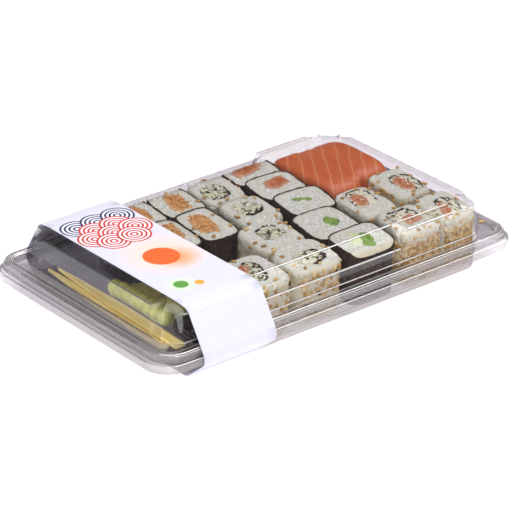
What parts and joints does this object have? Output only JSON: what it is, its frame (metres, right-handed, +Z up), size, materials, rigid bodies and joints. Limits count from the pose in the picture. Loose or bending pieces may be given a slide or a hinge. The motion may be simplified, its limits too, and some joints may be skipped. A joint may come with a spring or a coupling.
{
  "type": "takeaway sushi tray",
  "caption": "Shut clear takeaway tray of sushi: rolls, inside-out rolls and salmon on rice, with sachets and picks on a raised shelf under a wraparound paper band.",
  "frame": {"origin": "the point on the surface the tray stands on, under the middle of its flange", "axes": "+X along the tray, away from the shelf with the sachets; +Y towards the back; +Z up, out of the lid"},
  "size_m": [0.2464, 0.1568, 0.0408],
  "materials": {
    "clear_plastic": "clear formed sheet, glossy",
    "paper": "white printed paper, satin",
    "seaweed": "dark seaweed sheet, satin",
    "rice": "cooked rice, moist",
    "salmon": "raw fish, moist",
    "ginger_film": "clear film over pale pickled ginger",
    "soy_film": "film over dark sauce, glossy",
    "wood": "bare pale wood"
  },
  "bodies": {
    "root": {"tray_base": "clear_plastic", "lid": "clear_plastic", "paper_band": "paper", "maki_orange_1": "seaweed", "maki_orange_2": "seaweed", "maki_orange_3": "seaweed", "maki_orange_4": "seaweed", "maki_salmon_1": "seaweed", "maki_salmon_2": "seaweed", "maki_cucumber_1": "seaweed", "maki_cucumber_2": "seaweed", "maki_cucumber_3": "seaweed", "roll_cheese_1": "rice", "roll_cheese_2": "rice", "roll_cheese_3": "rice", "roll_cheese_4": "rice", "roll_salmon_1": "rice", "roll_salmon_2": "rice", "roll_salmon_3": "rice", "roll_salmon_4": "rice", "roll_salmon_5": "rice", "nigiri_1": "salmon", "nigiri_2": "salmon", "ginger_sachet": "ginger_film", "soy_sachet": "soy_film", "pick_1": "wood", "pick_2": "wood"}
  },
  "joints": []
}
